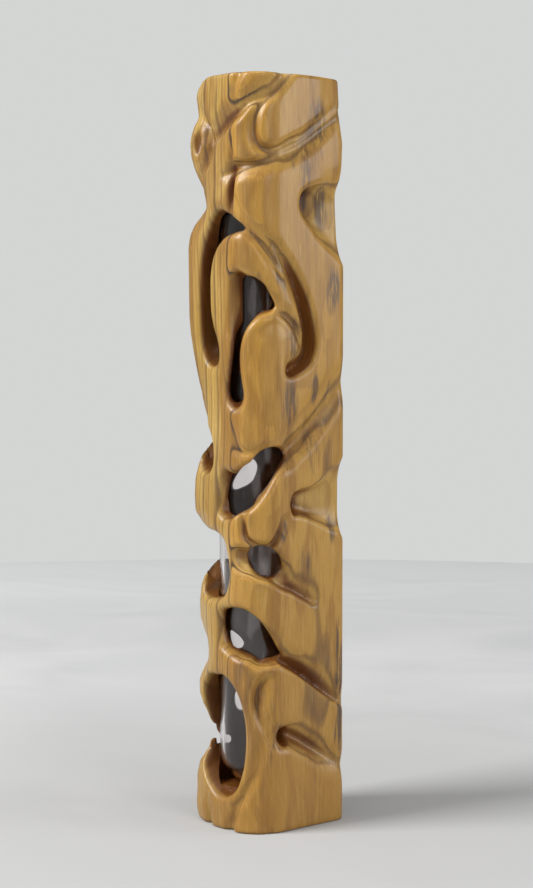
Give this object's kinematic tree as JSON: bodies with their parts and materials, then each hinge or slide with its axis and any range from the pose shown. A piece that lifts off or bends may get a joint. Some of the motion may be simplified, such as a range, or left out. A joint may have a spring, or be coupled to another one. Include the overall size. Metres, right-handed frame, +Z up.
{
  "type": "mezuzah case",
  "caption": "Carved olive-wood doorpost case: openwork block round a clear glass tube with a wooden stopper and brass keyhole plates let into the back.",
  "frame": {"origin": "middle of the base, on the face it stands on", "axes": "+Z up along the bore, -Y towards the carved front, +Y towards the flat back that goes to the doorpost"},
  "size_m": [0.027, 0.0296, 0.178],
  "materials": {
    "olive_wood": "oiled and polished by hand",
    "clear_glass": "clear, smooth",
    "turned_wood": "turned and oiled",
    "cork": "dull, granular",
    "brass": "satin"
  },
  "bodies": {
    "case": {"case_body": "olive_wood", "upper_keyhole_plate": "brass", "lower_keyhole_plate": "brass", "upper_plate_screws": "brass", "lower_plate_screws": "brass"},
    "tube": {"glass_tube": "clear_glass"},
    "stopper": {"stopper_head": "turned_wood", "stopper_cork": "cork"}
  },
  "joints": [
    {"name": "tube_slide", "type": "slide", "parent": "case", "child": "tube", "axis": [0, 0, 1], "range_m": [0, 0.17]},
    {"name": "stopper_pull", "type": "slide", "parent": "tube", "child": "stopper", "axis": [0, 0, 1], "range_m": [0, 0.02]}
  ]
}
